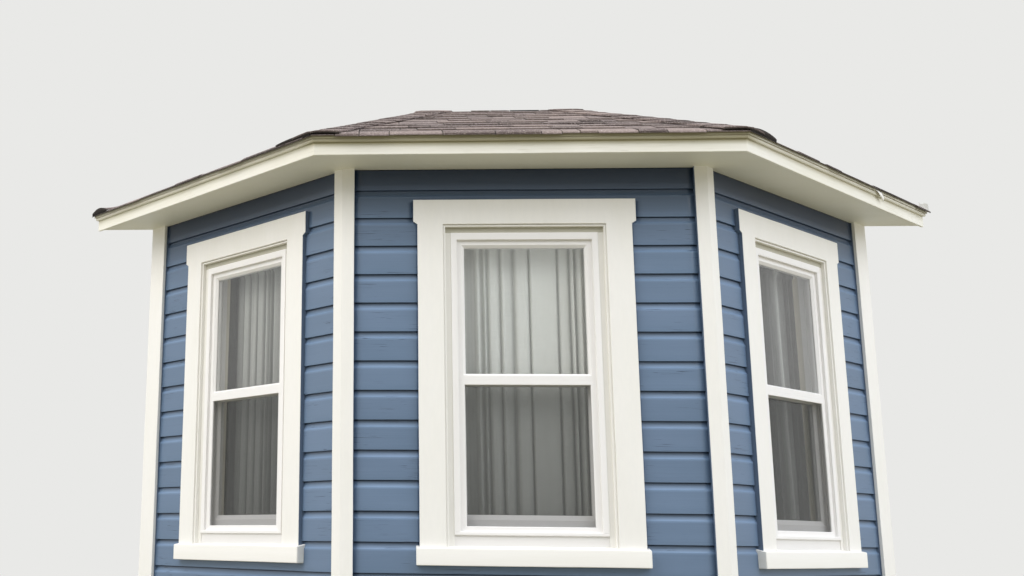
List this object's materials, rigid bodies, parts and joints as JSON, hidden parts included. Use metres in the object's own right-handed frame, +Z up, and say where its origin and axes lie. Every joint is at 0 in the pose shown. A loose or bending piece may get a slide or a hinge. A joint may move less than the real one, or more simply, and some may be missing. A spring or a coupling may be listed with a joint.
{
  "type": "bay window",
  "caption": "Canted wooden bay window with cove-lap siding, double-hung windows, sheer curtains and a low hipped shingle roof, standing on its own foundation.",
  "frame": {"origin": "ground level, under the middle of the bay's overall width and depth; the house wall plane is 657 mm behind it", "axes": "+X along the house wall to the right as seen from outside, +Y from the garden into the house, +Z up"},
  "size_m": [4.3974, 1.314, 3.8754],
  "materials": {
    "concrete": "cast concrete, rough, stated as a matt mineral surface",
    "wall_framing": "framed wall, plastered and painted inside",
    "framing_lumber": "sawn softwood",
    "floor_wood": "varnished strip floor",
    "plasterboard": "matt ceiling paint",
    "trim_paint": "brushed satin paint, cream white",
    "siding_paint": "brushed satin paint, slate blue",
    "frame_paint": "smooth semi-gloss paint, white",
    "window_glass": "clear float glass",
    "insect_screen": "white frame with grey woven mesh",
    "rod_metal": "white enamel",
    "sheer_curtain": "sheer woven curtain",
    "roof_sheathing": "raw board",
    "asphalt_shingle": "mineral granules, brown blend"
  },
  "bodies": {
    "root": {"foundation_left": "concrete", "foundation_front": "concrete", "foundation_right": "concrete", "wall_left": "wall_framing", "wall_front": "wall_framing", "wall_right": "wall_framing", "floor_joists": "framing_lumber", "floor_boards": "floor_wood", "ceiling": "plasterboard", "skirt_boards": "trim_paint", "corner_boards": "trim_paint", "wall_boards": "trim_paint", "siding_left": "siding_paint", "siding_front": "siding_paint", "siding_right": "siding_paint", "window_casings": "trim_paint", "window_sills": "trim_paint", "window_frames": "frame_paint", "upper_sashes": "frame_paint", "lower_sashes": "frame_paint", "upper_panes": "window_glass", "lower_panes": "window_glass", "insect_screens": "insect_screen", "inner_trims": "trim_paint", "curtain_rods": "rod_metal", "curtain_left": "sheer_curtain", "curtain_front": "sheer_curtain", "curtain_right": "sheer_curtain", "soffit_boards": "trim_paint", "fascia_boards": "trim_paint", "eave_mouldings": "trim_paint", "roof_frames": "framing_lumber", "roof_deck_left": "roof_sheathing", "roof_deck_front": "roof_sheathing", "roof_deck_right": "roof_sheathing", "shingles_left": "asphalt_shingle", "shingles_front": "asphalt_shingle", "shingles_right": "asphalt_shingle", "hip_caps": "asphalt_shingle"}
  },
  "joints": []
}
